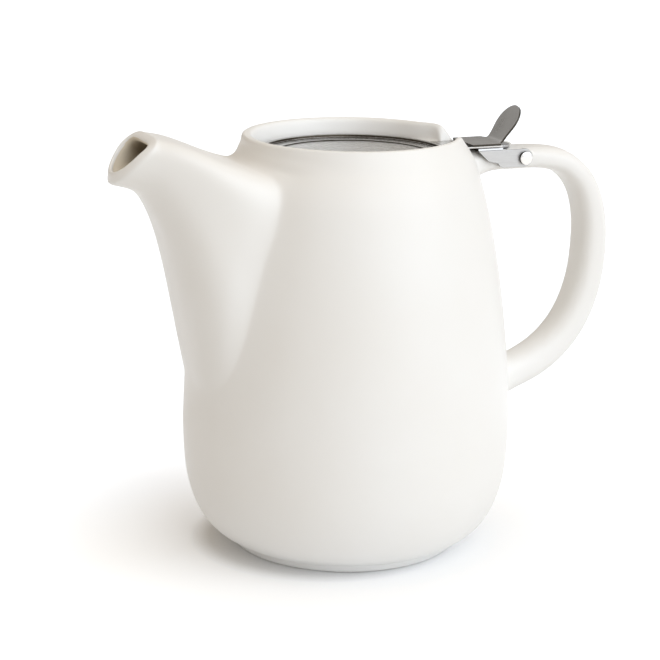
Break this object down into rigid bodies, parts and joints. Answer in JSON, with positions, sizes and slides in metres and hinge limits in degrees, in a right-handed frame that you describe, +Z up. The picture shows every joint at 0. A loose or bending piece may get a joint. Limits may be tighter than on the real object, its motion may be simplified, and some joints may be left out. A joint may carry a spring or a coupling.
{
  "type": "teapot",
  "caption": "Porcelain teapot with a raised spout, a loop handle, a sunken steel lid hinged on the handle and lifted by a thumb plate, and a hanging perforated tea basket.",
  "frame": {"origin": "centre of the foot ring, in the plane of the table", "axes": "+X from the pot's axis towards the handle, with the spout towards -X; +Z up; +Y completes a right-handed frame"},
  "size_m": [0.1936, 0.12, 0.1587],
  "materials": {
    "porcelain": "satin",
    "lid_steel": "satin",
    "hinge_steel": "satin",
    "pin_steel": "polished",
    "nylon": "matte",
    "basket_steel": "satin"
  },
  "bodies": {
    "pot": {"pot_body": "porcelain", "handle": "porcelain", "pivot_barrel": "pin_steel", "pivot_screw": "pin_steel", "pivot_sleeve": "nylon", "near_washer": "nylon", "far_washer": "nylon", "infuser_flange": "basket_steel", "infuser_sleeve": "basket_steel", "infuser_base": "basket_steel"},
    "lid": {"lid": "lid_steel", "thumb_lever": "hinge_steel", "hinge_bracket": "hinge_steel"}
  },
  "joints": [
    {"name": "lid_hinge", "type": "hinge", "parent": "pot", "child": "lid", "pos_m": [0.066, 0, 0.1406], "axis": [0, 1, 0], "range_deg": [0, 80]}
  ]
}
